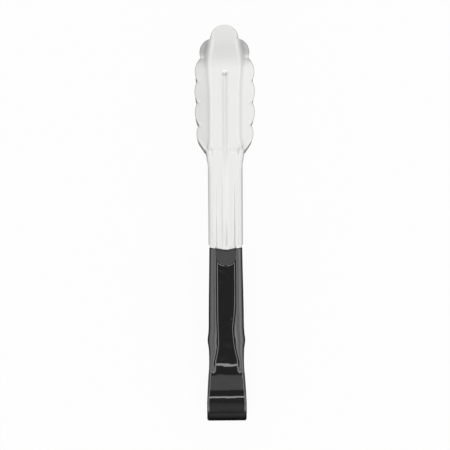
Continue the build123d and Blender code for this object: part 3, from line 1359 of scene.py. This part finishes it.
@dataclass(frozen=True)
class Studio:
    """Table, surroundings and camera.

    walls is the brightness from left to right; meridian is the brightness of the gap between the walls, from
    the tail's side to the head's, with the bright strip that gives the vinyl its glints. The walls are shaded
    at the corners on the head's side and brighter on the tail's.
    """

    tongs: Tongs
    aim: Point = (-0.4, 107.7)
    frame_width: float = 271.0
    distance: float = 1500.0
    headward: float = 7.2
    rightward: float = -0.2
    roll: float = -0.4
    sensor: float = 36.0
    far_clip: float = 50.0
    table_half: float = 6.0
    gap: Point = (0.06, 0.13)
    walls: tuple[Point, ...] = (
        (0.0, 0.90), (0.12, 0.66), (0.22, 0.68), (0.42, 1.26), (0.58, 1.28), (0.74, 0.72), (0.86, 0.72),
        (1.0, 1.25),
    )
    meridian: tuple[Point, ...] = (
        (0.0, 0.3), (0.04, 0.1), (0.25, 0.15), (0.285, 0.08), (0.334, 0.08), (0.352, 1.7), (0.397, 1.7),
        (0.415, 0.08), (0.632, 0.07), (0.672, 0.33), (0.742, 0.37), (1.0, 0.6),
    )
    corner_across: Point = (0.4, 0.85)
    corner_along: Point = (-0.15, 0.25)
    corner_shade: float = 0.65
    tailward: Point = (-0.85, -0.50)
    tail_gain: float = 0.65

    def build(self) -> None:
        """Sets up the whole studio."""
        self.table()
        self.surroundings()
        self.camera()
        bpy.context.scene.view_settings.view_transform = "Standard"

    def table(self) -> None:
        """Lays the table the tongs lie on."""
        bm = bmesh.new()
        bmesh.ops.create_grid(bm, x_segments=1, y_segments=1, size=self.table_half)
        bmesh.ops.translate(bm, verts=bm.verts, vec=(0, 0, self.tongs.table * MM))
        mesh = bpy.data.meshes.new("table")
        bm.to_mesh(mesh)
        bm.free()
        mesh.materials.append(WhiteTable().material())
        top = bpy.data.objects.new("table", mesh)
        bpy.context.scene.collection.objects.link(top)

    def surroundings(self) -> None:
        """Makes two bright walls, left and right, with a darker gap between them where the camera stands."""
        world = bpy.data.worlds.new("studio")
        world.use_nodes = True
        bpy.context.scene.world = world
        wiring = Wiring(world.node_tree)
        place = wiring.add("ShaderNodeTexCoord", {}).outputs["Generated"]
        split = wiring.add("ShaderNodeSeparateXYZ", {"Vector": place}).outputs
        across = wiring.maths("ABSOLUTE", split["X"])
        mix = wiring.add("ShaderNodeMix", {
            0: wiring.ranged(across, self.gap, WHOLE, eased=True),
            2: wiring.ramp(split["Y"], self.meridian),
            3: wiring.ramp(split["X"], self.walls),
        }, data_type="FLOAT")
        sideways = wiring.ranged(across, self.corner_across, (0.0, self.corner_shade), eased=True)
        headward = wiring.ranged(split["Y"], self.corner_along, WHOLE, eased=True)
        tailward = wiring.ranged(split["Y"], self.tailward, (1.0 + self.tail_gain, 1.0), eased=True)
        kept = wiring.maths("SUBTRACT", tailward, wiring.maths("MULTIPLY", sideways, headward))
        level = wiring.maths("MULTIPLY", mix.outputs[0], kept)
        wiring.feed(wiring.tree.nodes["Background"], {"Color": WHITE, "Strength": level})

    def camera(self) -> None:
        """Places the camera over the upper arm, square across it and tilted a little towards the head."""
        aim = Side.UPPER.place(self.tongs, *self.aim, self.tongs.rail_n)
        along = Side.UPPER.place(self.tongs, 0.0, 1.0, 0.0).normalized()
        outward = Side.UPPER.place(self.tongs, 0.0, 0.0, 1.0).normalized()
        headward, rightward = math.radians(self.headward), math.radians(self.rightward)
        axis = outward * math.cos(headward) + along * math.sin(headward)
        axis += Vector((math.tan(rightward), 0.0, 0.0))
        axis.normalize()
        right = along.cross(axis).normalized()
        turn = Matrix((right, axis.cross(right), axis)).transposed()
        data = bpy.data.cameras.new("camera")
        data.sensor_width = self.sensor
        data.lens = self.sensor * self.distance / self.frame_width
        data.clip_end = self.far_clip
        cam = bpy.data.objects.new("camera", data)
        cam.location = aim + axis * self.distance * MM
        cam.rotation_euler = (turn @ Matrix.Rotation(math.radians(self.roll), 3, "Z")).to_euler()
        bpy.context.scene.collection.objects.link(cam)
        bpy.context.scene.camera = cam


@dataclass(frozen=True)
class TongsScene:
    """Puts the pieces of the tongs on their bodies and sets up the studio."""

    tongs: Tongs

    def build(self) -> None:
        """Builds every piece and the studio."""
        kit = (self.tongs, ArmShape(self.tongs), MeshMaker(self.tongs))
        arms, grips, bow = SteelArm(*kit), VinylGrip(*kit), Bow(*kit)
        steel, vinyl = SatinSteel().material(), BlackVinyl(self.tongs).material()
        for side in Side:
            self.dress(arms.build(side, steel), side, f"{side.value}_arm")
            self.dress(grips.build(side, vinyl), side, f"{side.value}_grip")
        self.flex(bow.band(steel), "spring_bow")
        self.flex(bow.sleeve(vinyl), "bow_sleeve")
        Studio(self.tongs).build()

    def dress(self, obj: bpy.types.Object, side: Side, node: str) -> None:
        """Puts a rigid piece on its arm in place of a node.

        Args:
            obj: The piece.
            side: The arm it rides on.
            node: The node it stands for.
        """
        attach(obj, side.body)
        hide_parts(node)

    def flex(self, obj: bpy.types.Object, node: str) -> None:
        """Bakes a piece of the bow into the shared frame and hides the node it stands for.

        Args:
            obj: The piece.
            node: The node it stands for.
        """
        crest = self.tongs.bow_radius
        low = Side.LOWER.place(self.tongs, 0.0, 0.0, crest)
        high = Side.UPPER.place(self.tongs, 0.0, 0.0, crest)
        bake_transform(obj)
        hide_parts(node)


def main() -> None:
    """Builds the scene."""
    logging.basicConfig(level=logging.INFO, format="%(name)s: %(message)s")
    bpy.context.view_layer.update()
    TongsScene(Tongs()).build()


if __name__ == "__main__":
    main()
